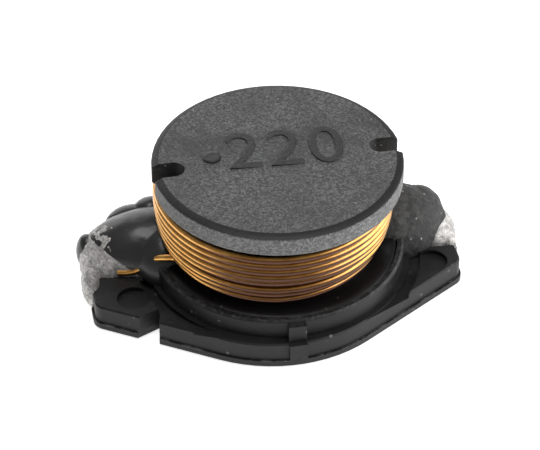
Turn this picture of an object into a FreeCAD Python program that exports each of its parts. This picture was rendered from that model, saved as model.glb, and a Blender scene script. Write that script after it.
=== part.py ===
"""Drum core power inductor for surface mounting: a ferrite bobbin wound with copper wire, glued into a
moulded base with two soldered end clips. Millimetres, +Z up, origin under the middle of the base."""
import FreeCAD, Part
import math
import os

V = FreeCAD.Vector
UP = V(0, 0, 1)

# Base moulding
base_length = 12.67          # between the two end faces
base_width = 9.40            # across the round middle
base_lift = 0.06             # air under the moulding, beside the clips
plate_thickness = 0.88
side_angle = 32.0            # degrees between a slanted side and the long axis
end_corner_radius = 0.50
lip_height = 0.21            # proud band left by the mould along the lower edge
lip_overhang = 0.07
edge_break = 0.05            # small bevel on moulded top edges
cup_shelf = 0.40             # plate left outside the cup, at the front and the back
cup_shift = 0.20             # the cup stands this far towards +X from the middle
cup_wall = 0.23
cup_height = 0.69            # rim over the plate
cup_rim_bevel = 0.08
cup_floor_thickness = 0.42
ledge_width = 0.18           # left round the cup's foot
groove_width = 0.39          # between the ledge and the ears
groove_depth = 0.22
channel_width = 0.86         # slot between the two ears of an end
channel_shift = 0.26         # off the long axis, to the back at the left end
channel_depth = 0.30
channel_mouth_radius = 0.30
dimple_radius = 0.56
dimple_depth = 0.16
dimple_from_end = 1.23
dimple_skew = 0.15           # one diagonal pair stands nearer the middle, the other nearer the ends
dimple_y = 1.38
notch_from_end = 1.33        # far side of the nick in a slanted side
notch_width = 0.67           # along the length of the part
notch_depth = 0.80
notch_lean = 0.18
lug_width = 0.60
lug_reach = 0.24             # out from the cup
lug_drop = 0.06              # top of the lug under the rim
pad_reach = 0.05             # the lug's lower half stands this far out of the lip
pad_foot = 0.26              # bottom of the pad over the underside

# Ferrite bobbin, glued into the cup
foot_gap = 0.07              # glue between the bobbin's foot and the cup's wall
foot_thickness = 1.02
flange_overhang = 0.19       # upper flange past the foot
drum_height = 4.54
flange_side = 0.69           # height of the upper flange's upright side
bevel_width = 0.27
bevel_drop = 0.14
flange_underside_bevel = 0.10
post_radius = 2.00
slot_width = 0.73
slot_depth = 1.07

# Black adhesive under and round the bobbin's foot
glue_under_foot = 0.08
glue_ring_width = 1.10
glue_film = 0.09
glue_below_rim = 0.07
glue_shoulder = 0.15         # level stretch ends this far inside the foot's edge

# Winding
wire_diameter = 0.26
winding_shift = -0.14        # the loose coil sits a little to one side of the post
winding_air = 0.03           # under the upper flange
post_air = 0.16
turn_insets = (0.15, 0.14, 0.15, 0.17, 0.20, 0.25, 0.34, 0.47)   # inside the flange's edge, from the top down
turn_facets = 3              # flats round the outside of a turn
wire_sides = 10              # flats round a wire end

# Wire end from the coil down into the channel, at the -X end: places from the bobbin's axis, the cup's
# rim and the end face
lead_root = 0.89             # inside the flange's edge
lead_root_y = 1.05
lead_root_rise = 0.50        # over the rim
lead_leave = 0.17
lead_leave_y = 0.86
lead_leave_rise = 0.50
lead_over_cup = 0.32         # outside the cup's wall
lead_over_cup_y = 0.42
lead_over_cup_rise = 0.10
lead_rest_from_end = 1.49
lead_rest_y = 0.26
lead_tip_from_end = 0.94
lead_tip_y = 0.12
lead_rest_lift = 0.22        # wire's centre over the plate
lead_tip_lift = 0.19
lead_bend_share = 0.42

# End clips of tinned sheet
clip_thickness = 0.12
clip_width = 1.70            # end plate and foot, let into the end face and the underside
clip_foot_length = 2.10      # under the base, from the end face
clip_tab_gap = 0.56          # between the cup and the tab that lies in the channel
clip_tab_play = 0.07         # beside the tab, each side
clip_shoulder_drop = 0.08    # top of the end plate under the top of the ears
clip_bend_radius = 0.11

# Solder mounds over the clips: rounds that lie along X, placed from the end face, the long axis and the plate
solder_skin = 0.20           # past the end face
solder_foot = 0.22           # lowest point of the solder over the pads
solder_inset = 0.75          # middle of a mound, inside the end face
solder_drop = 0.22           # middle of a mound under the plate's top
solder_left_y = 0.72
solder_left_radius = 1.00
solder_right_y = 0.35
solder_right_radius = 0.98

# Black epoxy caps over the wire ends: rounds that lie along X, from the bobbin out over the solder
cap_root = 0.33              # middle of a cap, inside the flange's edge
cap_lift = 0.06              # middle of a cap over the plate
cap_air = 0.06               # between a cap and the coil
cap_inner_reach = 0.80       # caps start this far inside the flange's edge
cap_left_overshoot = 0.13    # where the left cap's own tip would be, past the end face
cap_left_y = 1.00
cap_left_radius = 1.46
cap_right_overshoot = 0.02
cap_right_y = 0.60
cap_right_radius = 1.59
lobe_from_end = 1.94         # the left cap runs on over the far ear
lobe_y = 1.90
lobe_lift = 0.40
lobe_half_length = 0.90
lobe_radius = 0.71
skirt_root = 0.14            # and down round the root of the wire end
skirt_y = -0.25
skirt_lift = 0.11
skirt_half_length = 0.80
skirt_radius = 0.85
lump_steps = 9               # straight steps from tip to tip of a round's outline

# Sizes and heights worked out from those above
underside = base_lift
plate_top = underside + plate_thickness
rim = plate_top + cup_height
cup_floor = underside + cup_floor_thickness
channel_floor = plate_top - channel_depth
end_x = base_length / 2.0
cup_outer_radius = base_width / 2.0 - cup_shelf
cup_inner_radius = cup_outer_radius - cup_wall
foot_radius = cup_inner_radius - foot_gap
drum_radius = foot_radius + flange_overhang
foot_bottom = cup_floor + glue_under_foot
foot_top = foot_bottom + foot_thickness
drum_top = foot_bottom + drum_height
flange_edge = drum_top - bevel_drop
flange_bottom = flange_edge - flange_side
glue_inner_radius = foot_radius - glue_ring_width
glue_top = foot_top + glue_film
winding_top = flange_bottom - winding_air
clear_above = drum_top + 1.0     # height that cutting shapes run up to
clear_out = end_x + 1.0          # and how far out they run


def prism(points, bottom, top):
    """An upright solid on a closed outline."""
    ring = Part.makePolygon([V(x, y, bottom) for x, y in points] + [V(points[0][0], points[0][1], bottom)])
    return Part.Face(ring).extrude(UP * (top - bottom))


def block(x0, x1, y0, y1, z0, z1):
    return Part.makeBox(x1 - x0, y1 - y0, z1 - z0, V(x0, y0, z0))


def disc(radius, bottom, top, x=0.0, y=0.0):
    return Part.makeCylinder(radius, top - bottom, V(x, y, bottom))


def turned(profile, x=cup_shift):
    """A solid turned about an upright axis from (radius, height) points."""
    points = [V(x + r, 0, z) for r, z in profile]
    face = Part.Face(Part.makePolygon(points + [points[0]]))
    return face.revolve(V(x, 0, 0), UP, 360)


def half_turn(shape, x=0.0):
    """A copy turned over an upright axis, for the other end."""
    other = shape.copy()
    other.rotate(V(x, 0, 0), UP, 180)
    return other


def slanted_side_y(x, inset=0.0):
    """Distance of a slanted side from the long axis, at a place along it."""
    angle = math.radians(side_angle)
    return (base_width / 2.0 - inset - x * math.sin(angle)) / math.cos(angle)


def base_slab(inset, bottom, top):
    """The base's plan outline: round middle, straight slanted sides tangent to it, and flat ends."""
    radius = base_width / 2.0 - inset
    angle = math.radians(side_angle)
    end = end_x - inset
    tx, ty = radius * math.sin(angle), radius * math.cos(angle)
    ey = slanted_side_y(end, inset)
    front = Part.Arc(V(-tx, -ty, bottom), V(0, -radius, bottom), V(tx, -ty, bottom)).toShape()
    back = Part.Arc(V(tx, ty, bottom), V(0, radius, bottom), V(-tx, ty, bottom)).toShape()
    right = Part.makePolygon([V(tx, -ty, bottom), V(end, -ey, bottom), V(end, ey, bottom), V(tx, ty, bottom)])
    left = Part.makePolygon([V(-tx, ty, bottom), V(-end, ey, bottom), V(-end, -ey, bottom), V(-tx, -ty, bottom)])
    outline = Part.Wire([front] + right.Edges + [back] + left.Edges)
    slab = Part.Face(outline).extrude(UP * (top - bottom))
    corners = [e for e in slab.Edges if abs(abs(e.CenterOfMass.x) - end) < 1e-6
               and abs(abs(e.CenterOfMass.y) - ey) < 1e-6]
    return slab.makeFillet(end_corner_radius - inset, corners)


def notch():
    """The V-shaped nick in the slanted side at the near left, seen from above."""
    far = end_x - notch_from_end
    near = far - notch_width
    near_y, far_y = -slanted_side_y(near), -slanted_side_y(far)
    points = [(-near, near_y), (-near + notch_lean, near_y + notch_depth), (-far, far_y),
              (-far, -base_width), (-near, -base_width)]
    return prism(points, 0, rim)


def channel():
    """The slot between the two ears of the -X end, with a rounded mouth."""
    low, high = channel_shift - channel_width / 2.0, channel_shift + channel_width / 2.0
    r = channel_mouth_radius
    slot = block(-clear_out, cup_shift - cup_outer_radius, low, high, channel_floor, rim)
    mouth = block(-clear_out, -end_x + r, low - r, high + r, channel_floor, rim)
    for y in (low - r, high + r):
        mouth = mouth.cut(disc(r, channel_floor, rim, -end_x + r, y))
    return slot.fuse(mouth)


def lug():
    """The keying lug in the middle of the front, with its wider-standing lower pad."""
    side, inside, low = lug_width / 2.0, -cup_inner_radius, underside + pad_foot
    post = block(-side, side, -cup_outer_radius - lug_reach, inside, low, rim - lug_drop)
    return post.fuse(block(-side, side, -base_width / 2.0 - pad_reach, inside, low, plate_top))


def make_base():
    slab = base_slab(lip_overhang, underside, plate_top)
    top_edges = [e for e in slab.Edges if abs(e.BoundBox.ZMin - plate_top) < 1e-6]
    slab = slab.makeChamfer(edge_break, top_edges)
    body = slab.fuse(base_slab(0.0, underside, underside + lip_height))
    ledge_radius = cup_outer_radius + ledge_width
    groove = disc(ledge_radius + groove_width, plate_top - groove_depth, rim, cup_shift)
    groove = groove.cut(disc(ledge_radius, 0, rim, cup_shift))
    middle = base_width / 2.0 * math.sin(math.radians(side_angle))
    groove = groove.cut(block(-middle, middle, -base_width, base_width, 0, rim))
    body = body.cut(groove)
    cup = disc(cup_outer_radius, underside, rim, cup_shift)
    cup = cup.makeChamfer(cup_rim_bevel, [e for e in cup.Edges if abs(e.BoundBox.ZMin - rim) < 1e-6])
    body = body.fuse([cup, lug(), half_turn(lug())])
    body = body.cut(disc(cup_inner_radius, cup_floor, clear_above, cup_shift))
    body = body.cut([channel(), half_turn(channel()), notch(), half_turn(notch())])
    dimples = []
    for side in (-1, 1):
        x = side * (end_x - dimple_from_end + side * dimple_skew)
        dimple = disc(dimple_radius, plate_top - dimple_depth, rim, x, -dimple_y)
        dimples += [dimple, half_turn(dimple)]
    side = clip_width / 2.0
    pocket = block(end_x - clip_foot_length, clear_out, -side, side, 0, clip_thickness)
    pocket = pocket.fuse(block(end_x - clip_thickness, clear_out, -side, side, 0, clear_above))
    return body.cut(dimples + [pocket, half_turn(pocket)]).removeSplitter()


def make_core():
    bobbin = turned([(0, foot_bottom), (foot_radius, foot_bottom), (foot_radius, foot_top), (post_radius, foot_top),
                     (post_radius, flange_bottom), (drum_radius - flange_underside_bevel, flange_bottom),
                     (drum_radius, flange_bottom + flange_underside_bevel), (drum_radius, flange_edge),
                     (drum_radius - bevel_width, drum_top), (0, drum_top)])
    half = slot_width / 2.0
    inner = cup_shift + drum_radius - slot_depth + half
    low = (winding_top + flange_bottom) / 2.0
    slot = block(inner, cup_shift + base_width, -half, half, low, clear_above)
    slot = slot.fuse(disc(half, low, clear_above, inner))
    return bobbin.cut([slot, half_turn(slot, cup_shift)])


def make_adhesive():
    brim = rim - glue_below_rim
    return turned([(0, cup_floor), (cup_inner_radius, cup_floor), (cup_inner_radius, brim),
                   (foot_radius - glue_shoulder, glue_top), (glue_inner_radius, glue_top),
                   (glue_inner_radius, foot_top), (foot_radius, foot_top), (foot_radius, foot_bottom),
                   (0, foot_bottom)])


def winding_body():
    """All the turns as one ring, with the outer turns showing as rounded ridges."""
    wire = wire_diameter / 2.0
    pitch = (winding_top - glue_top) / len(turn_insets)
    inner = post_radius + post_air
    profile = [(inner, glue_top), (inner, winding_top)]
    for i, inset in enumerate(turn_insets):
        centre = drum_radius - inset - wire
        height = winding_top - pitch * (i + 0.5)
        for k in range(turn_facets + 1):
            angle = math.pi * (0.5 - k / turn_facets)
            point = (centre + wire * math.cos(angle), height + pitch / 2.0 * math.sin(angle))
            if point != profile[-1]:
                profile.append(point)
    return turned(profile, cup_shift + winding_shift)


def wire_section(place, direction):
    ring = Part.makeCircle(wire_diameter / 2.0, place, direction).discretize(wire_sides + 1)
    return Part.Face(Part.makePolygon(ring[:-1] + [ring[0]]))


def lead():
    """The -X wire end: one section carried along straight runs joined by tangent arcs."""
    points = [V(cup_shift - drum_radius + lead_root, -lead_root_y, rim + lead_root_rise),
              V(cup_shift - drum_radius + lead_leave, -lead_leave_y, rim + lead_leave_rise),
              V(cup_shift - cup_outer_radius - lead_over_cup, -lead_over_cup_y, rim + lead_over_cup_rise),
              V(-end_x + lead_rest_from_end, -lead_rest_y, plate_top + lead_rest_lift),
              V(-end_x + lead_tip_from_end, -lead_tip_y, plate_top + lead_tip_lift)]
    pieces = []
    start = points[0]
    section = wire_section(start, points[1] - start)
    for before, corner, after in zip(points, points[1:], points[2:]):
        cut = lead_bend_share * min(corner.distanceToPoint(before), corner.distanceToPoint(after))
        into = (before - corner).normalize()
        out = (after - corner).normalize()
        turn = math.pi - math.acos(into.dot(out))
        arc_start = corner + into * cut
        centre = corner + (into + out).normalize() * (cut / math.sin(turn / 2.0))
        axis = out.cross(into)
        pieces.append(section.extrude(arc_start - start))
        section = section.translated(arc_start - start)
        pieces.append(section.revolve(centre, axis, math.degrees(turn)))
        section = section.rotated(centre, axis, math.degrees(turn))
        start = corner + out * cut
    pieces.append(section.extrude(points[-1] - start))
    return pieces[0].fuse(pieces[1:]).removeSplitter()


def make_winding():
    return winding_body().fuse([lead(), half_turn(lead(), cup_shift + winding_shift)])


def make_clip():
    """The -X clip: a foot under the base, a plate up the end face and a tab folded over into the channel."""
    side = clip_width / 2.0
    foot_end = -end_x + clip_foot_length
    strip = block(-end_x, foot_end, -side, side, 0, plate_top - clip_shoulder_drop)
    bend = [e for e in strip.Edges if abs(e.CenterOfMass.x + end_x) < 1e-6 and abs(e.CenterOfMass.z) < 1e-6]
    strip = strip.makeFillet(clip_bend_radius, bend)
    strip = strip.cut(block(-end_x + clip_thickness, end_x, -clip_width, clip_width, clip_thickness, clear_above))
    tab_side = channel_width / 2.0 - clip_tab_play
    tab = block(-end_x, cup_shift - cup_outer_radius - clip_tab_gap, channel_shift - tab_side,
                channel_shift + tab_side, channel_floor, channel_floor + clip_thickness)
    return strip.fuse(tab).removeSplitter()


def rounded_lump(centre, half_length, radius):
    """A round body along X on a stepped half ellipse."""
    points = []
    for i in range(lump_steps + 1):
        angle = math.pi * i / lump_steps
        points.append(centre + V(-half_length * math.cos(angle), 0, radius * math.sin(angle)))
    face = Part.Face(Part.makePolygon(points + [points[0]]))
    return face.revolve(centre, V(1, 0, 0), 360)


def largest(shape):
    return max(shape.Solids, key=lambda solid: solid.Volume)


def make_solder(side, y, radius, others):
    """A mound over the clip of one end; side is -1 or 1 along X."""
    centre = V(side * (end_x - solder_inset), y, plate_top - solder_drop)
    mound = rounded_lump(centre, solder_inset + solder_skin, radius)
    above_foot = block(-clear_out, clear_out, -base_width, base_width, solder_foot, clear_above)
    return largest(mound.common(above_foot).cut(others))


def make_cap(side, overshoot, y, radius, others, extras):
    """An epoxy cap from the bobbin out over the solder of one end."""
    centre_x = cup_shift + side * (drum_radius - cap_root)
    half_length = abs(side * (end_x + overshoot) - centre_x)
    cap = rounded_lump(V(centre_x, y, plate_top + cap_lift), half_length, radius)
    for extra in extras:
        cap = cap.fuse(extra)
    near, far = sorted((cup_shift + side * (drum_radius - cap_inner_reach), side * end_x))
    cap = cap.common(block(near, far, -base_width, base_width, channel_floor, clear_above))
    return largest(cap.cut(others))


def save(name, shape):
    if not shape.isValid():
        print("not valid:", name)
    print(name, "solids", len(shape.Solids), "volume", round(shape.Volume, 4))
    shape.exportStep("parts/" + name + ".step")


os.makedirs("parts", exist_ok=True)

base = make_base()
core = make_core()
adhesive = make_adhesive()
winding = make_winding()
clip_left = make_clip()
clip_right = half_turn(clip_left)
fixed = [base, winding, clip_left, clip_right]
solder_left = make_solder(-1, solder_left_y, solder_left_radius, fixed)
solder_right = make_solder(1, solder_right_y, solder_right_radius, fixed)
coil_radius = drum_radius - min(turn_insets)
room_for_coil = disc(coil_radius + cap_air, cup_floor, clear_above, cup_shift + winding_shift)
held = fixed + [core, adhesive, room_for_coil]
lobe = rounded_lump(V(-end_x + lobe_from_end, lobe_y, plate_top + lobe_lift), lobe_half_length, lobe_radius)
skirt = rounded_lump(V(cup_shift - drum_radius + skirt_root, skirt_y, plate_top + skirt_lift), skirt_half_length,
                     skirt_radius)
cap_left = make_cap(-1, cap_left_overshoot, cap_left_y, cap_left_radius, held + [solder_left], [lobe, skirt])
cap_right = make_cap(1, cap_right_overshoot, cap_right_y, cap_right_radius, held + [solder_right], [])

save("base", base)
save("ferrite_core", core)
save("drum_adhesive", adhesive)
save("winding", winding)
save("terminal_left", clip_left)
save("terminal_right", clip_right)
save("solder_left", solder_left)
save("solder_right", solder_right)
save("epoxy_cap_left", cap_left)
save("epoxy_cap_right", cap_right)
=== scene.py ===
import bpy
import math
from mathutils import Matrix, Vector


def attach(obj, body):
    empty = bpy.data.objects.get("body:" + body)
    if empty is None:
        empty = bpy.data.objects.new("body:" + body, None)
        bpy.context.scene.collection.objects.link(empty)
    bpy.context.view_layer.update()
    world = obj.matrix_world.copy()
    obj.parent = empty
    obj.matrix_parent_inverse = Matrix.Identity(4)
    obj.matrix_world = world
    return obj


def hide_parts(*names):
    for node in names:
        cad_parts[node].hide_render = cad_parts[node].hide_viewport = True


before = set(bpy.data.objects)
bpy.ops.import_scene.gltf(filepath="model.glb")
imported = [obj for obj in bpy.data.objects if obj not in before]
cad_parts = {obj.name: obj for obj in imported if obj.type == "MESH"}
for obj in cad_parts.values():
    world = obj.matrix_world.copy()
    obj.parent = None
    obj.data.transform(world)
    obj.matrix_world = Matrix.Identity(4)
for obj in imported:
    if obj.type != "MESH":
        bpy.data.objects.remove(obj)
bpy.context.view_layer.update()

MM = 0.001                   # pieces are shaped in millimetres and seated in metres
sides = {"left": -1.0, "right": 1.0}

# Sizes of the part that the finishes and new pieces line up with, in millimetres
drum_x = 0.20                # the bobbin's axis
drum_radius = 4.19
drum_top = 5.10
bevel_width = 0.27
flange_edge = 4.96           # height of the bevel's lower edge
slot_width = 0.73
slot_depth = 1.07
lip_top = 0.27               # of the thin lip round the base's foot
rim = 1.63                   # top of the cup
groove_floor = 0.72
groove_top = 0.93            # where the floor has risen to, just under the plate's top
groove_end = 2.49            # from the middle, where the groove has run out
groove_fades_from = 4.0

# Winding: radius to the wire's middle and height at four sides of each turn, from the top down
coil_x = 0.06
wire_radius = 0.13
turn_radii = (3.91, 3.92, 3.91, 3.89, 3.86, 3.81, 3.72, 3.59)
front_heights = (3.92, 3.67, 3.42, 3.15, 2.95, 2.58, 2.35, 2.00)
right_heights = (4.00, 3.75, 3.50, 3.25, 3.02, 2.79, 2.56, 2.32)
back_heights = (3.92, 3.68, 3.43, 3.18, 2.92, 2.66, 2.38, 2.12)
left_heights = (3.82, 3.57, 3.31, 3.06, 2.78, 2.47, 2.20, 1.88)
steps_per_turn = 72
front_angle = -97.0          # where a turn passes the front, in degrees
start_heights = (4.16, 4.07)           # at the back and left, before the first turn
start_radii = (3.89, 3.90)
under_in = 0.20              # the layer under the outer turns lies this much further in
under_down = 0.11            # and lower, between them
ring_bore = 2.2              # the ring of inner layers, with a ridge for each row of wire
ring_bottom = 1.70
ring_top = 4.20
ridge_radius = 3.42
gap_radius = 3.34
ridges = 9
top_ridge = 4.16
ridges_reach = 2.4           # from the first ridge to the last
lead_route = ((-3.10, -1.05, 2.13), (-3.72, -0.76, 2.00), (-4.20, -0.30, 1.62), (-4.70, -0.30, 1.08),
              (-5.30, -0.10, 1.06))

# Solder and epoxy: the skins are run together from lumps, each with its middle and half lengths
solder_foot = 0.22
solder_root = 4.50           # inner end of the solder, from the middle
channel_floor = 0.64
cap_root = 3.30              # caps start this far from the middle, behind the outer turns
cap_edge = (-6.05, 1.49, 1.58)         # a place on the lower edge of the left cap
cap_edge_rise = (0.625, 0.281, 0.728)  # and the direction from that edge into the cap
solder_lumps = {
    "left": (((-5.50, 0.74, 0.80), (1.00, 0.95, 0.90)), ((-6.22, -0.10, 0.60), (0.33, 0.84, 0.60)),
             ((-5.10, 0.18, 0.84), (0.62, 0.30, 0.40)), ((-3.70, 1.00, 1.00), (2.78, 1.42, 1.42))),
    "right": (((5.60, 0.35, 0.74), (0.93, 0.98, 0.90)), ((6.12, 0.10, 0.62), (0.34, 0.80, 0.60))),
}
left_cone = (((-3.66, 1.00, 1.00), (2.80, 1.46, 1.46)), ((-3.60, 0.35, 0.98), (1.25, 1.36, 1.34)))
left_lobes = (((-4.50, 1.98, 1.40), (0.95, 0.64, 0.66)), ((-3.80, 2.02, 1.62), (0.70, 0.60, 0.70)),
              ((-6.16, 1.22, 1.00), (0.38, 0.52, 0.70)))
right_lumps = (((4.06, 0.60, 1.00), (2.25, 1.56, 1.56)), ((5.26, 0.80, 1.15), (0.95, 1.10, 1.10)))

# Marking, on the line of the two slots
digits_start = (-1.55, -0.36)
digits_size = 2.75
digits_spacing = 1.08
digits_narrowing = 0.93
digits_thinning = -0.015
digits_turn = -3.75          # degrees
dot_place = (-1.94, 0.35)
dot_radius = 0.30
ink_height = 0.04
ink_rounding = 0.02

# Lights: name, place and size in metres, watts
softboxes = (("right_softbox", (0.30, -0.07, 0.10), 0.42, 1.7),
             ("back_softbox", (-0.05, 0.32, 0.10), 0.30, 0.4),
             ("top_softbox", (0.0, -0.01, 0.30), 0.16, 0.35))
light_aim = (0.0, 0.0, 0.002)
surroundings = 0.22          # brightness of the world
floor_glow = 0.7


def activate(piece):
    """Selects one piece alone."""
    bpy.ops.object.select_all(action="DESELECT")
    piece.select_set(True)
    bpy.context.view_layer.objects.active = piece


def edit(piece):
    """Opens a piece for shaping with all of it selected."""
    activate(piece)
    bpy.ops.object.mode_set(mode="EDIT")
    bpy.ops.mesh.select_all(action="SELECT")


def close(piece):
    """Ends the shaping of a piece."""
    bpy.ops.object.mode_set(mode="OBJECT")
    return piece


def smooth(piece, angle):
    """Shades a piece smooth, but for edges sharper than this many degrees."""
    activate(piece)
    bpy.ops.object.shade_smooth_by_angle(angle=math.radians(angle))
    return piece


def copy_of(node, name):
    """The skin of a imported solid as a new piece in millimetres, its loose triangles merged."""
    piece = bpy.data.objects.new(name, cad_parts[node].data.copy())
    bpy.context.scene.collection.objects.link(piece)
    piece.data.transform(Matrix.Scale(1.0 / MM, 4))
    activate(piece)
    bpy.ops.mesh.customdata_custom_splitnormals_clear()
    edit(piece)
    bpy.ops.mesh.remove_doubles(threshold=0.0005)
    return close(piece)


def apply(piece, kind, **settings):
    """Adds one modifier, sets it and applies it."""
    activate(piece)
    modifier = piece.modifiers.new(kind.title(), kind)
    for name, value in settings.items():
        setattr(modifier, name, value)
    bpy.ops.object.modifier_apply(modifier=modifier.name)
    return piece


def joined(name, pieces):
    """Makes one mesh of several."""
    bpy.ops.object.select_all(action="DESELECT")
    for piece in pieces:
        piece.select_set(True)
    bpy.context.view_layer.objects.active = pieces[0]
    bpy.ops.object.join()
    pieces[0].name = name
    return pieces[0]


def soften_edges(piece, width, segments=2):
    """Joins the triangles of each flat face, then rounds the sharp edges a little."""
    edit(piece)
    bpy.ops.mesh.dissolve_limited(angle_limit=math.radians(0.3))
    close(piece)
    apply(piece, "BEVEL", width=width, segments=segments, limit_method="ANGLE",
          angle_limit=math.radians(28), harden_normals=False)
    smooth(piece, 40)
    return apply(piece, "WEIGHTED_NORMAL", keep_sharp=True)


def ball(centre, radii):
    """A rounded lump with its half lengths."""
    bpy.ops.mesh.primitive_ico_sphere_add(subdivisions=4, radius=1.0, location=centre, scale=radii)
    piece = bpy.context.active_object
    bpy.ops.object.transform_apply(location=True, rotation=True, scale=True)
    return piece


def cut_off(piece, place, normal):
    """Takes away what lies on the far side of a plane and closes the cut."""
    edit(piece)
    bpy.ops.mesh.bisect(plane_co=place, plane_no=normal, use_fill=True, clear_outer=True)
    return close(piece)


def run_together(name, lumps, voxel, smoothing):
    """Melts overlapping lumps into one smooth skin."""
    piece = joined(name, [ball(*lump) for lump in lumps])
    apply(piece, "REMESH", mode="VOXEL", voxel_size=voxel)
    apply(piece, "SMOOTH", factor=0.5, iterations=smoothing)
    return piece


def roughen(piece, name, size, strength, mid_level, depth=2):
    """Moves a skin in and out by a cloud pattern with features of about this size."""
    pattern = bpy.data.textures.new(name, "CLOUDS")
    pattern.noise_scale = size
    pattern.noise_depth = depth
    return apply(piece, "DISPLACE", texture=pattern, strength=strength, mid_level=mid_level)


def seat(piece, finish, slot, *nodes):
    """Takes a shaped piece from millimetres to its place on the part, with its finish."""
    activate(piece)
    bpy.ops.object.transform_apply(location=True, rotation=True, scale=True)
    piece.data.transform(Matrix.Scale(MM, 4))
    piece.data.materials.clear()
    piece.data.materials.append(finish)
    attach(piece, "root")
    if nodes:
        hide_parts(*nodes)
    return piece


class Shade:
    """A value that changes over a surface; sums of these add Math nodes."""

    def __init__(self, finish, socket):
        self.finish = finish
        self.socket = socket

    def maths(self, operation, first, second):
        """Adds one Math node."""
        return self.finish.node("ShaderNodeMath", {"operation": operation}, {0: first, 1: second})[0]

    def __add__(self, other):
        return self.maths("ADD", self, other)

    def __radd__(self, other):
        return self.maths("ADD", other, self)

    def __sub__(self, other):
        return self.maths("SUBTRACT", self, other)

    def __rsub__(self, other):
        return self.maths("SUBTRACT", other, self)

    def __mul__(self, other):
        return self.maths("MULTIPLY", self, other)

    def __rmul__(self, other):
        return self.maths("MULTIPLY", other, self)

    def __pow__(self, other):
        return self.maths("POWER", self, other)

    def __lt__(self, other):
        return self.maths("LESS_THAN", self, other)

    def __gt__(self, other):
        return self.maths("GREATER_THAN", self, other)

    def over(self, low, high):
        """0 below low, 1 above high, and smooth between."""
        settings = {"interpolation_type": "SMOOTHSTEP"}
        return self.finish.node("ShaderNodeMapRange", settings, {0: self, 1: low, 2: high})[0]


class Finish:
    """One material, made of nodes that read the place on the part in millimetres."""

    def __init__(self, name, specular=0.5, metallic=0.0, coat=0.0, coat_roughness=0.1):
        self.material = bpy.data.materials.new(name)
        self.material.use_nodes = True
        self.nodes = self.material.node_tree.nodes
        self.links = self.material.node_tree.links
        self.shader = self.nodes["Principled BSDF"]
        self.shader.inputs["Specular IOR Level"].default_value = specular
        self.shader.inputs["Metallic"].default_value = metallic
        self.shader.inputs["Coat Weight"].default_value = coat
        self.shader.inputs["Coat Roughness"].default_value = coat_roughness
        here = self.node("ShaderNodeTexCoord")["Object"]
        scale = {"operation": "SCALE"}
        self.place = self.node("ShaderNodeVectorMath", scale, {0: here, "Scale": 1.0 / MM})[0]
        along = self.node("ShaderNodeSeparateXYZ", {}, {0: self.place})
        self.x, self.y, self.z = along["X"], along["Y"], along["Z"]

    def node(self, kind, settings=None, values=None):
        """Adds one node: its settings first, then the value or link of each socket."""
        made = self.nodes.new(kind)
        for name, value in (settings or {}).items():
            if name == "stops":
                ramp = made.color_ramp
                while len(ramp.elements) < len(value):
                    ramp.elements.new(0.5)
                for element, (place, colour) in zip(ramp.elements, value):
                    element.position = place
                    element.color = (*colour, 1.0)
            else:
                setattr(made, name, value)
        for name, value in (values or {}).items():
            self.feed(made.inputs[name], value)
        outputs = {socket.name: Shade(self, socket) for socket in reversed(made.outputs)}
        outputs.update({i: Shade(self, socket) for i, socket in enumerate(made.outputs)})
        return outputs

    def feed(self, socket, value):
        """Links a socket to a changing value, or sets it to a constant."""
        if isinstance(value, Shade):
            self.links.new(value.socket, socket)
        elif socket.type == "RGBA":
            socket.default_value = (*value, 1.0)
        else:
            socket.default_value = value

    def noise(self, size, detail=2.0, roughness=0.5, seed=0.0, stretch=(1.0, 1.0, 1.0)):
        """Cloudy values from 0 to 1 with features of about this size in millimetres."""
        place = self.place
        if stretch != (1.0, 1.0, 1.0):
            place = self.node("ShaderNodeVectorMath", {"operation": "DIVIDE"}, {0: place, 1: stretch})[0]
        values = {"Vector": place, "W": seed, "Scale": 1.0 / size, "Detail": detail, "Roughness": roughness}
        return self.node("ShaderNodeTexNoise", {"noise_dimensions": "4D"}, values)[0]

    def cells(self, size):
        """Scattered cells: the distance from a cell's middle, and a value from 0 to 1 for each cell."""
        made = self.node("ShaderNodeTexVoronoi", {}, {"Vector": self.place, "Scale": 1.0 / size})
        return made["Distance"], self.node("ShaderNodeSeparateColor", {}, {0: made["Color"]})[0]

    def specks(self, size, share, soft=0.24):
        """Small spots of about this size over a share of the surface."""
        distance, cell = self.cells(size)
        middle = 1.0 - distance.over(0.25, 0.25 + soft)
        return middle * (cell > 1.0 - share)

    def from_axis(self, x):
        """Distance from the upright line at this x."""
        across = self.x - x
        return (across * across + self.y * self.y) ** 0.5

    def mix(self, share, first, second):
        """Goes from the first colour to the second by a share."""
        return self.node("ShaderNodeMix", {"data_type": "RGBA"}, {0: share, 6: first, 7: second})[2]

    def ramp(self, value, stops):
        """A colour read off a ramp of places and colours."""
        return self.node("ShaderNodeValToRGB", {"stops": stops}, {0: value})[0]

    def bump(self, height, depth, strength=1.0, under=None):
        """Tilts the surface as if it rose by depth millimetres from 0 to 1."""
        values = {"Height": height, "Distance": depth * MM, "Strength": strength}
        if under is not None:
            values["Normal"] = under
        return self.node("ShaderNodeBump", {}, values)[0]

    def finish(self, colour, roughness, normal):
        """Feeds the shader and gives the material."""
        for name, value in {"Base Color": colour, "Roughness": roughness, "Normal": normal}.items():
            self.feed(self.shader.inputs[name], value)
        return self.material


def grey(level, warmth=0.0):
    """A grey in linear light, warmer above 0."""
    return (level * (1.0 + warmth), level, level * (1.0 - warmth))


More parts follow.
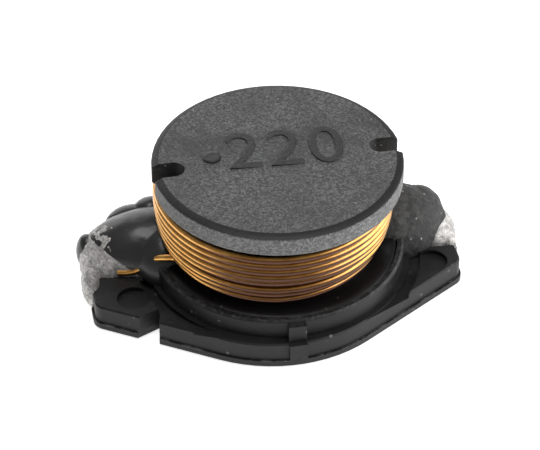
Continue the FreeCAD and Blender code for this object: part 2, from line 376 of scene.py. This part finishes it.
def moulded_plastic():
    """Black filled moulding: faintly satin, with flow marks, fine grain, scuffs, dust, lighter streaks
    along the lip's top edge and a painted highlight along the cup's rim.
    """
    f = Finish("black moulding", specular=0.32)
    grain = f.noise(0.05, 3.0, 0.6)
    flow = f.noise(0.9, 3.0, 0.55, 3.0, (2.2, 1.0, 1.0))
    scuff = f.noise(0.16, 4.0, 0.65, 5.0, (3.0, 1.0, 1.0)).over(0.60, 0.74)
    dust = f.specks(0.16, 0.035) * f.noise(0.7, 2.0, 0.5, 9.0).over(0.45, 0.6)
    colour = f.mix(flow.over(0.3, 0.7), grey(0.006), grey(0.012, -0.02))
    colour = f.mix(grain.over(0.5, 0.8) * 0.35, colour, grey(0.03))
    colour = f.mix(scuff * 0.25, colour, grey(0.05))
    # lighter streaks along the top edge of the lip, broken by noise
    lip_edge_streaks = f.z.over(lip_top - 0.035, lip_top - 0.01) * (1.0 - f.z.over(lip_top, lip_top + 0.02))
    lip_edge_streaks = lip_edge_streaks * f.noise(0.5, 4.0, 0.7, 12.0).over(0.45, 0.62)
    # painted highlight: a lighter band along the top of the cup's rim, broken into patches
    rim_highlight = f.z.over(rim - 0.09, rim - 0.03) * f.noise(0.2, 4.0, 0.7, 14.0).over(0.42, 0.7)
    colour = f.mix(lip_edge_streaks * 0.5, colour, grey(0.16))
    colour = f.mix(rim_highlight * 0.5, colour, grey(0.10))
    colour = f.mix(dust * 0.5, colour, grey(0.22, 0.03))
    roughness = 0.34 + 0.16 * flow + 0.12 * grain + 0.2 * dust
    normal = f.bump(flow, 0.05, 0.7)
    normal = f.bump(grain + 0.5 * scuff, 0.010, 0.8, normal)
    return f.finish(colour, roughness, normal)


def ferrite():
    """Sintered ferrite: dry dark grey with fine grain. The bevel round the top is painted near black as a
    dark reflection, and the slots are painted dark as shade.
    """
    f = Finish("ferrite", specular=0.4)
    radius = f.from_axis(drum_x)
    fine = f.cells(0.055)[1]
    medium = f.noise(0.11, 3.0, 0.7, 2.0)
    cloud = f.noise(1.6, 3.0, 0.6, 7.0)
    margin = 0.012           # a face begins this far past an edge
    bevel_start = drum_radius - bevel_width
    top = f.z > drum_top - margin
    bevel = (f.z > flange_edge + margin) * (1.0 - top) * radius.over(bevel_start - 0.1, bevel_start)
    level = fine * 0.5 + medium * 0.5
    colour = f.ramp(level, ((0.15, grey(0.028)), (0.5, grey(0.085, -0.01)), (0.85, grey(0.20))))
    colour = f.mix(cloud.over(0.35, 0.7) * 0.45, colour, grey(0.05))
    # painted dark reflection: the bevel round the top, near black
    colour = f.mix(bevel * 0.95, colour, grey(0.004))
    side = 1.0 - f.z.over(flange_edge - 0.03, flange_edge + 0.01)
    colour = f.mix(side * 0.5, colour, f.mix(level.over(0.2, 0.8), grey(0.09), grey(0.26)))
    from_marking = f.y - 0.5
    rubbed = from_marking.over(-1.6, -0.2) * (1.0 - from_marking.over(0.5, 1.8)) * cloud.over(0.25, 0.6)
    colour = f.mix(rubbed * top * 0.45, colour, grey(0.03))
    # painted shade: the slots, near black
    in_slot = ((f.y * f.y) < (slot_width / 2.0 + 0.02) ** 2) * (radius > drum_radius - slot_depth - 0.02)
    in_slot = in_slot * (1.0 - top) * (radius < drum_radius - 0.03)
    colour = f.mix(in_slot * 0.9, colour, grey(0.004))
    spark = f.specks(0.10, 0.012)
    colour = f.mix(spark * 0.35, colour, grey(0.4))
    roughness = 0.50 + 0.2 * medium - 0.12 * bevel
    normal = f.bump(level, 0.018, 0.8)
    normal = f.bump(cloud, 0.03, 0.5, normal)
    return f.finish(colour, roughness, normal)


def ink():
    """Raised marking ink: near black and wet-looking."""
    f = Finish("marking ink")
    wave = f.noise(0.12, 2.0, 0.5, 4.0)
    colour = f.mix(wave, grey(0.006), grey(0.02))
    return f.finish(colour, 0.22 + 0.2 * wave, f.bump(wave, 0.02, 0.6))


def black_adhesive():
    """Cured black adhesive: smooth and wet-looking."""
    f = Finish("black adhesive", specular=0.35)
    wave = f.noise(1.1, 2.0, 0.5, 1.0)
    dust = f.specks(0.12, 0.02)
    colour = f.mix(wave, (0.004, 0.0038, 0.004), (0.008, 0.007, 0.007))
    colour = f.mix(dust * 0.4, colour, grey(0.15))
    return f.finish(colour, 0.24 + 0.2 * wave, f.bump(wave, 0.08, 0.6))


def copper_wire(name, painted_shade, dark, light):
    """Copper under clear amber enamel, with painted shade on the lower half of each turn at the front and
    the back.
    """
    f = Finish(name, metallic=1.0, coat=0.5, coat_roughness=0.1)
    patch = f.noise(0.5, 3.0, 0.6, 2.0)
    # painted shade: where a turn faces down at the front and the back it takes the dark colour, while the
    # sides keep the copper
    facing = f.node("ShaderNodeSeparateXYZ", {}, {0: f.node("ShaderNodeNewGeometry")["Normal"]})["Z"]
    to_side = ((f.x - coil_x) * (f.x - coil_x)).over(1.0, 13.0)
    bright = (facing + 0.75 * to_side).over(0.38, 0.80)
    colour = f.mix(patch.over(0.3, 0.7), dark, light)
    colour = f.mix(bright, painted_shade, colour)
    scratch = f.noise(0.05, 3.0, 0.6, 6.0, (4.0, 4.0, 1.0))
    return f.finish(colour, 0.24 + 0.14 * patch, f.bump(scratch, 0.006, 0.5))


def tinned_clip():
    """Tin-plated sheet: dull silver with fine rolling marks."""
    f = Finish("tinned sheet", metallic=1.0)
    rolled = f.noise(0.05, 3.0, 0.6, 1.0, (8.0, 1.0, 1.0))
    cloud = f.noise(0.6, 3.0, 0.6, 5.0)
    colour = f.mix(cloud, grey(0.50, 0.02), grey(0.68, 0.02))
    return f.finish(colour, 0.32 + 0.2 * rolled, f.bump(rolled, 0.01, 0.6))


def solder():
    """Frosty solder: a grainy skin with bright crystals and grey patches."""
    f = Finish("frosty solder", metallic=0.75)
    crystal = f.cells(0.075)[1]
    pits = f.noise(0.12, 4.0, 0.7, 3.0)
    patch = f.noise(0.45, 3.0, 0.6, 8.0).over(0.52, 0.68)
    colour = f.mix(crystal, grey(0.34, 0.03), grey(0.66, 0.03))
    colour = f.mix(pits.over(0.5, 0.75) * 0.5, colour, grey(0.12, 0.05))
    colour = f.mix(patch * 0.55, colour, grey(0.15, 0.05))
    roughness = 0.42 + 0.25 * pits
    normal = f.bump(crystal * 0.6 + pits, 0.045, 0.9)
    return f.finish(colour, roughness, normal)


def gloss_epoxy():
    """Smooth black epoxy with a soft sheen and a few specks."""
    f = Finish("gloss epoxy", coat=0.3, coat_roughness=0.2)
    wave = f.noise(0.7, 2.0, 0.5, 2.0)
    orange = f.noise(0.07, 2.0, 0.6, 5.0)
    dust = f.specks(0.14, 0.03)
    colour = f.mix(wave, grey(0.012), grey(0.022))
    colour = f.mix(dust * 0.4, colour, grey(0.16))
    normal = f.bump(orange, 0.006, 0.6)
    return f.finish(colour, 0.30 + 0.12 * orange, normal)


def dull_epoxy():
    """Rough dull dark grey epoxy with pits and bright specks."""
    f = Finish("dull epoxy", specular=0.35)
    pits = f.noise(0.16, 4.0, 0.7, 2.0)
    fine = f.noise(0.05, 3.0, 0.7, 6.0)
    patch = f.noise(0.9, 3.0, 0.6, 4.0)
    bright = f.specks(0.13, 0.05) * patch.over(0.45, 0.6)
    colour = f.mix(pits.over(0.35, 0.7), grey(0.022), grey(0.07, 0.02))
    colour = f.mix(patch.over(0.4, 0.7) * 0.4, colour, grey(0.03))
    colour = f.mix(bright * 0.8, colour, grey(0.4))
    normal = f.bump(pits * 0.7 + fine * 0.3, 0.06, 0.9)
    return f.finish(colour, 0.5 + 0.25 * pits, normal)


def make_base(finish):
    """The moulding, with the ends of its grooves run out smoothly towards the middle."""
    piece = copy_of("base", "moulded_base")
    for corner in piece.data.vertices:
        across = abs(corner.co.x)
        if abs(corner.co.z - groove_floor) < 0.01 and across < groove_fades_from:
            share = (groove_fades_from - across) / (groove_fades_from - groove_end)
            corner.co.z += (groove_top - groove_floor) * min(1.0, share)
    soften_edges(piece, 0.03)
    return seat(piece, finish, "moulded_plastic", "base")


def make_drum(finish):
    """The ferrite bobbin."""
    piece = copy_of("ferrite_core", "ferrite_drum")
    soften_edges(piece, 0.025)
    return seat(piece, finish, "ferrite", "ferrite_core")


def make_adhesive(finish):
    """The dish of adhesive between the cup's rim and the coil."""
    piece = copy_of("drum_adhesive", "adhesive_fillet")
    soften_edges(piece, 0.05, 3)
    return seat(piece, finish, "black_adhesive", "drum_adhesive")


def make_clip(end, finish):
    """The tinned sheet wrapped round one end."""
    piece = copy_of("terminal_" + end, "end_clip_" + end)
    soften_edges(piece, 0.02)
    return seat(piece, finish, "tinned_clip", "terminal_" + end)


def wire(name, points):
    """A round wire through a list of points, as a mesh."""
    bpy.ops.curve.primitive_nurbs_path_add()
    piece = bpy.context.active_object
    piece.name = name
    curve = piece.data
    spline = curve.splines[0]
    spline.points.add(len(points) - len(spline.points))
    for point, place in zip(spline.points, points):
        point.co = (*place, 1.0)
    spline.order_u = 3
    spline.use_endpoint_u = True
    spline.resolution_u = 3
    curve.dimensions = "3D"
    curve.bevel_depth = wire_radius
    curve.bevel_resolution = 3
    curve.use_fill_caps = True
    activate(piece)
    bpy.ops.object.convert(target="MESH")
    bpy.ops.object.shade_smooth()
    return piece


def between(first, second, share):
    """Goes from one value to the next, halfway between a straight line and an ease."""
    ease = share * share * (3.0 - 2.0 * share)
    return first + (second - first) * (ease + share) / 2.0


def coil_points(drop_in, drop_down):
    """Places along loose turns, a quarter turn at a time: back, left, front, right and round again."""
    heights = list(start_heights)
    radii = list(start_radii)
    for i in range(len(turn_radii)):
        heights += [front_heights[i], right_heights[i], back_heights[i], left_heights[i]]
        following = turn_radii[min(i + 1, len(turn_radii) - 1)]
        radii += [turn_radii[i] + (following - turn_radii[i]) * quarter / 4.0 for quarter in range(4)]
    points = []
    quarter_steps = steps_per_turn // 4
    for station in range(len(heights) - 1):
        for step in range(quarter_steps):
            share = step / quarter_steps
            angle = math.radians(front_angle + 90.0 * (station - len(start_heights) + share))
            radius = between(radii[station], radii[station + 1], share) - drop_in
            height = between(heights[station], heights[station + 1], share) - drop_down
            points.append((coil_x + radius * math.cos(angle), radius * math.sin(angle), height))
    return points


def turned(name, centre, profile):
    """A ring turned about an upright axis: a circle drawn out from point to point of (radius, height)."""
    radius, height = profile[0]
    bpy.ops.mesh.primitive_circle_add(vertices=96, radius=radius, location=(*centre, height))
    piece = bpy.context.active_object
    piece.name = name
    bpy.ops.object.transform_apply(location=True)
    edit(piece)
    for after_radius, after_height in profile[1:] + profile[:1]:
        rise = {"value": (0.0, 0.0, after_height - height)}
        bpy.ops.mesh.extrude_region_move(TRANSFORM_OT_translate=rise)
        grow = after_radius / radius
        bpy.ops.transform.resize(value=(grow, grow, 1.0), center_override=(*centre, after_height))
        radius, height = after_radius, after_height
    bpy.ops.mesh.select_all(action="SELECT")
    bpy.ops.mesh.remove_doubles(threshold=0.0005)
    bpy.ops.mesh.normals_make_consistent(inside=False)
    close(piece)
    return smooth(piece, 40)


def make_winding(finish, inside):
    """Outer turns and the layer under them as wires, a ridged ring of inner layers, and two leads. The
    under layer and the inner ring take a dark copy of the copper, as painted shade.
    """
    outer = wire("outer_turns", coil_points(0.0, 0.0))
    under = wire("under_turns", coil_points(under_in, under_down))
    layers = [(ring_bore, ring_bottom), (ring_bore, ring_top)]
    for ridge in range(ridges):
        height = top_ridge - ridge * ridges_reach / (ridges - 1)
        layers += [(ridge_radius, height + 0.02), (gap_radius, height - wire_radius)]
    inner = turned("inner_layers", (coil_x, 0.0), layers)
    left_lead = wire("lead_left", lead_route)
    other_end = [(2.0 * coil_x - x, -y, z) for x, y, z in lead_route]
    right_lead = wire("lead_right", other_end)
    seat(joined("inner_layers", [under, inner]), inside, "copper_wire")
    piece = joined("outer_turns", [outer, left_lead, right_lead])
    return seat(piece, finish, "copper_wire", "winding")


def make_solder(end, finish):
    """Solder over a clip: a mound in the channel and a skin down the end plate."""
    side = sides[end]
    piece = run_together("solder_mound_" + end, solder_lumps[end], 0.035, 8)
    cut_off(piece, (side * solder_root, 0.0, 0.0), (-side, 0.0, 0.0))
    roughen(piece, "solder skin " + end, 0.22, 0.05, 0.4)
    cut_off(piece, (0.0, 0.0, solder_foot), (0.0, 0.0, -1.0))
    smooth(piece, 50)
    return seat(piece, finish, "solder", "solder_" + end)


def seat_cap(piece, end, finish, slot):
    """Cuts a cap off behind the outer turns and at the channel's floor, and seats it."""
    side = sides[end]
    cut_off(piece, (side * cap_root, 0.0, 0.0), (-side, 0.0, 0.0))
    cut_off(piece, (0.0, 0.0, channel_floor), (0.0, 0.0, -1.0))
    smooth(piece, 50)
    return seat(piece, finish, slot, "epoxy_cap_" + end)


def make_left_cap(finish):
    """A smooth cone from the coil out over the solder, with a darker lobe behind it."""
    front = run_together("front_cone", left_cone, 0.045, 30)
    cut_off(front, cap_edge, [-share for share in cap_edge_rise])
    lobe = run_together("far_lobe", left_lobes, 0.045, 6)
    piece = joined("epoxy_cap_left_skin", [front, lobe])
    roughen(piece, "left cap", 0.9, 0.05, 0.45)
    return seat_cap(piece, "left", finish, "gloss_epoxy")


def make_right_cap(finish):
    """A rough blunt lump from the coil out over the solder."""
    piece = run_together("epoxy_cap_right_skin", right_lumps, 0.045, 8)
    roughen(piece, "right cap", 0.5, 0.11, 0.45, 4)
    return seat_cap(piece, "right", finish, "dull_epoxy")


def make_marking(finish):
    """Plain digits and a dot in raised ink on the top, along the two slots."""
    bpy.ops.object.text_add(location=(0.0, 0.0, 0.0))
    digits = bpy.context.active_object
    digits.data.body = "220"
    digits.data.size = digits_size
    digits.data.space_character = digits_spacing
    digits.data.extrude = ink_height / 2.0
    digits.data.bevel_depth = ink_rounding
    digits.data.offset = digits_thinning
    activate(digits)
    bpy.ops.object.convert(target="MESH")
    digits.scale = (digits_narrowing, 1.0, 1.0)
    digits.rotation_euler = (0.0, 0.0, math.radians(digits_turn))
    digits.location = (*digits_start, drum_top)
    bpy.ops.object.transform_apply(location=True, rotation=True, scale=True)
    bpy.ops.mesh.primitive_circle_add(vertices=40, radius=dot_radius, fill_type="NGON",
                                      location=(*dot_place, drum_top))
    dot = bpy.context.active_object
    edit(dot)
    bpy.ops.mesh.extrude_region_move(TRANSFORM_OT_translate={"value": (0.0, 0.0, ink_height)})
    bpy.ops.mesh.inset(thickness=0.05, depth=0.012)
    close(dot)
    bpy.ops.object.transform_apply(location=True)
    piece = joined("marking", [digits, dot])
    return seat(piece, finish, "gloss_epoxy")


def make_floor():
    """A pale floor that glows a little, as in a bright studio."""
    bpy.ops.mesh.primitive_plane_add(size=2.0, location=(0.0, 0.0, 0.0))
    floor = bpy.context.active_object
    floor.name = "floor"
    material = bpy.data.materials.new("pale floor")
    material.use_nodes = True
    shader = material.node_tree.nodes["Principled BSDF"]
    shader.inputs["Base Color"].default_value = (0.9, 0.9, 0.9, 1.0)
    shader.inputs["Roughness"].default_value = 0.9
    shader.inputs["Specular IOR Level"].default_value = 0.1
    shader.inputs["Emission Color"].default_value = (1.0, 1.0, 1.0, 1.0)
    shader.inputs["Emission Strength"].default_value = floor_glow
    floor.data.materials.append(material)


def softbox(name, place, size, watts):
    """A square light that faces the part."""
    bpy.ops.object.light_add(type="AREA", location=place)
    light = bpy.context.active_object
    light.name = name
    light.data.size = size
    light.data.energy = watts
    direction = Vector(place) - Vector(light_aim)
    light.rotation_euler = direction.to_track_quat("Z", "Y").to_euler()


def make_lights():
    """White surroundings and three softboxes, the strongest at the right."""
    world = bpy.data.worlds.new("soft studio")
    world.use_nodes = True
    world.node_tree.nodes["Background"].inputs["Color"].default_value = (1.0, 1.0, 1.0, 1.0)
    world.node_tree.nodes["Background"].inputs["Strength"].default_value = surroundings
    bpy.context.scene.world = world
    for light in softboxes:
        softbox(*light)
    bpy.context.scene.view_settings.view_transform = "Standard"


def make_camera():
    """Looks down on the front, a little from the left, through a long lens."""
    elevation = math.radians(39.45)
    azimuth = math.radians(-10.94)
    distance = 0.084
    target = Vector((-0.046, 0.048, 2.183)) * MM
    back = Vector((math.sin(azimuth) * math.cos(elevation), -math.cos(azimuth) * math.cos(elevation),
                   math.sin(elevation)))
    bpy.ops.object.camera_add(location=target + back * distance)
    camera = bpy.context.active_object
    camera.rotation_euler = back.to_track_quat("Z", "Y").to_euler()
    camera.data.lens = 165.64
    camera.data.sensor_width = 36.0
    camera.data.clip_start = 0.005
    camera.data.clip_end = 5.0
    bpy.context.scene.camera = camera


bpy.ops.object.select_all(action="DESELECT")
make_camera()
make_lights()
make_floor()
make_base(moulded_plastic())
make_drum(ferrite())
make_adhesive(black_adhesive())
copper = copper_wire("enamelled copper wire", (0.07, 0.022, 0.007), (0.66, 0.30, 0.06), (0.84, 0.45, 0.12))
# A dark copy of the copper wire: painted shade for the layers under the outer turns
shaded = copper_wire("shaded copper wire", (0.03, 0.010, 0.004), (0.06, 0.02, 0.006), (0.09, 0.03, 0.01))
make_winding(copper, shaded)
sheet_finish = tinned_clip()
solder_finish = solder()
for end in ("left", "right"):
    make_clip(end, sheet_finish)
    make_solder(end, solder_finish)
make_left_cap(gloss_epoxy())
make_right_cap(dull_epoxy())
make_marking(ink())
